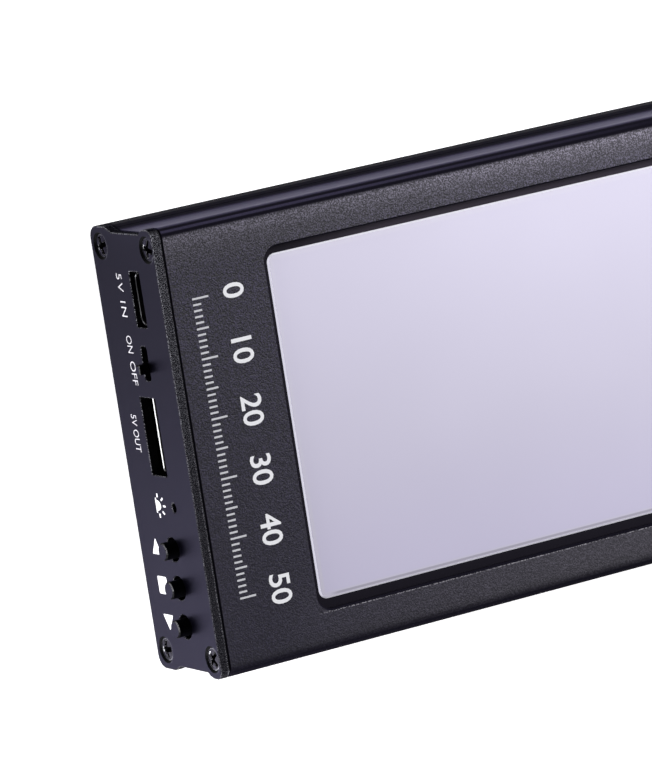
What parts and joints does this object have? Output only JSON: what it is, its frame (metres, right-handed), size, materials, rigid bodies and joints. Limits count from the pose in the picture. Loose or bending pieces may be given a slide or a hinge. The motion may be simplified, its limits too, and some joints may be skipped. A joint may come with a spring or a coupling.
{
  "type": "antenna analyzer",
  "caption": "Flat handheld antenna analyzer: large display in a black metal case, USB sockets, slide switch and push buttons on one end, threaded RF jacks on the other.",
  "frame": {"origin": "centre of the flat back face", "axes": "+X along the length, from the end with the sockets and buttons to the end with the RF jacks; +Y across, towards the USB-C socket; +Z out of the display"},
  "size_m": [0.1414, 0.075, 0.022],
  "materials": {
    "case_front": "fine-textured black anodised aluminium",
    "case_rear": "fine-textured black anodised aluminium",
    "end_plate": "smooth satin black",
    "screw": "black oxide",
    "glass": "pale lavender film under clear glass",
    "bezel": "matt black",
    "foam": "closed-cell foam",
    "panel": "glossy",
    "light_guide": "clear",
    "tin": "bright tin plate",
    "tape": "foam tape",
    "flex": "amber film",
    "circuit_board": "solder mask",
    "socket_metal": "nickel",
    "black_plastic": "moulded",
    "white_plastic": "moulded",
    "button": "moulded",
    "spring_steel": "bright",
    "light": "clear resin",
    "chip": "moulded epoxy",
    "ferrite": "ground",
    "battery": "foil pouch",
    "wire": "insulated wire",
    "brass": "gold plated",
    "insulator": "fluoropolymer"
  },
  "bodies": {
    "case": {"front_shell": "case_front", "rear_shell": "case_rear", "port_end_plate": "end_plate", "rf_end_plate": "end_plate", "port_plate_screws": "screw", "rf_plate_screws": "screw", "display_glass": "glass", "display_bezel": "bezel", "display_gasket": "foam", "display_panel": "panel", "display_light_guide": "light_guide", "display_tray": "tin", "display_tape": "tape", "display_flex": "flex", "display_flex_socket": "white_plastic", "main_board": "circuit_board", "usb_c_shell": "socket_metal", "usb_c_core": "black_plastic", "usb_a_shell": "socket_metal", "usb_a_core": "black_plastic", "power_switch_case": "socket_metal", "power_switch_base": "black_plastic", "charge_light": "light", "source_shield_can": "tin", "receiver_shield_can": "tin", "rf_chips": "chip", "processor_chip": "chip", "board_chips": "chip", "power_inductor": "ferrite", "battery_pack": "battery", "battery_tape": "tape", "battery_foam": "foam", "battery_board": "circuit_board", "battery_lead": "wire", "battery_plug": "white_plastic", "battery_socket": "white_plastic", "rf_jack_1_body": "brass", "rf_jack_2_body": "brass", "rf_jack_insulators": "insulator", "rf_jack_contacts": "brass", "rf_jack_washers": "brass", "rf_jack_nuts": "brass", "up_key_body": "black_plastic", "select_key_body": "black_plastic", "down_key_body": "black_plastic", "key_covers": "socket_metal", "key_domes": "spring_steel"},
    "power_slider": {"power_slider": "black_plastic"},
    "up_button": {"up_button": "button"},
    "select_button": {"select_button": "button"},
    "down_button": {"down_button": "button"}
  },
  "joints": [
    {"name": "power_slide", "type": "slide", "parent": "case", "child": "power_slider", "axis": [0, 1, 0], "range_m": [0, 0.0015]},
    {"name": "up_press", "type": "slide", "parent": "case", "child": "up_button", "axis": [1, 0, 0], "range_m": [0, 0.0003], "stiffness_N_per_m": 1200, "springref_m": -0.0004},
    {"name": "select_press", "type": "slide", "parent": "case", "child": "select_button", "axis": [1, 0, 0], "range_m": [0, 0.0003], "stiffness_N_per_m": 1200, "springref_m": -0.0004},
    {"name": "down_press", "type": "slide", "parent": "case", "child": "down_button", "axis": [1, 0, 0], "range_m": [0, 0.0003], "stiffness_N_per_m": 1200, "springref_m": -0.0004}
  ]
}
